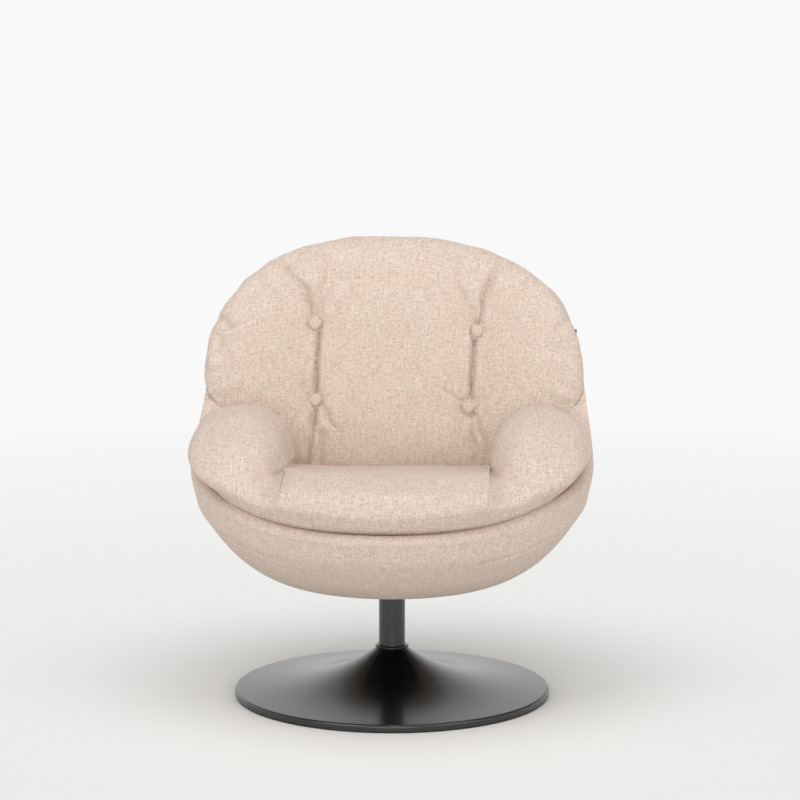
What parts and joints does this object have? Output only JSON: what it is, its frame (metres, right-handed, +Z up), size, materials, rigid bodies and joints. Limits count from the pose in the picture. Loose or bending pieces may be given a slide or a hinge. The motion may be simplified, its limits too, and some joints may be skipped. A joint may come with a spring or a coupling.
{
  "type": "swivel barrel chair",
  "caption": "Barrel armchair with a padded round shell, a wrap-around seat cushion with arm pads and a tufted back cushion, which swivels on a black trumpet base.",
  "frame": {"origin": "centre of the round base on the floor, on the swivel axis", "axes": "+Z up; the sitter faces -Y; +X is on the right of someone who looks at the chair's front"},
  "size_m": [0.7606, 0.7653, 0.8591],
  "materials": {
    "black_rubber": "matt moulded",
    "raw_steel": "mill finish, oiled",
    "satin_black_powder_coat": "satin powder coat",
    "gloss_black_plastic": "gloss moulded",
    "zinc_steel": "zinc plated",
    "bronze": "sintered",
    "bearing_steel": "ground",
    "plywood": "sanded",
    "black_cambric": "non-woven cloth",
    "sand_melange_fabric": "woven melange upholstery",
    "moulded_plastic": "moulded",
    "lining_foam": "foam under calico",
    "waxed_twine": "waxed twine"
  },
  "bodies": {
    "base": {"floor_ring": "black_rubber", "ballast_plate": "raw_steel", "base_cover": "satin_black_powder_coat", "neck_collar": "gloss_black_plastic", "column_tube": "satin_black_powder_coat", "column_foot": "raw_steel", "foot_bolts": "zinc_steel", "column_head": "satin_black_powder_coat", "upper_bush": "bronze", "lower_bush": "bronze", "lower_race": "bearing_steel"},
    "bearing_cage": {"ball_cage": "bronze", "bearing_balls": "bearing_steel"},
    "seat": {"upper_race": "bearing_steel", "spindle": "bearing_steel", "retaining_washer": "zinc_steel", "circlip": "bearing_steel", "swivel_plate": "satin_black_powder_coat", "plate_washers": "zinc_steel", "plate_bolts": "zinc_steel", "tee_nuts": "zinc_steel", "seat_board": "plywood", "dust_cover": "black_cambric", "shell_cover": "sand_melange_fabric", "shell_core": "moulded_plastic", "shell_lining": "lining_foam", "deck_foam": "lining_foam", "seat_cushion": "sand_melange_fabric", "back_cushion": "sand_melange_fabric", "tuft_buttons": "sand_melange_fabric", "tuft_twines": "waxed_twine", "tuft_toggles": "moulded_plastic"}
  },
  "joints": [
    {"name": "seat_swivel", "type": "hinge", "parent": "base", "child": "seat", "pos_m": [0, 0, 0.22], "axis": [0, 0, 1], "continuous": true},
    {"name": "cage_spin", "type": "hinge", "parent": "base", "child": "bearing_cage", "pos_m": [0, 0, 0.22], "axis": [0, 0, 1], "continuous": true}
  ],
  "couplings": [
    {"joint": "cage_spin", "follows": "seat_swivel", "ratio": 0.5}
  ]
}
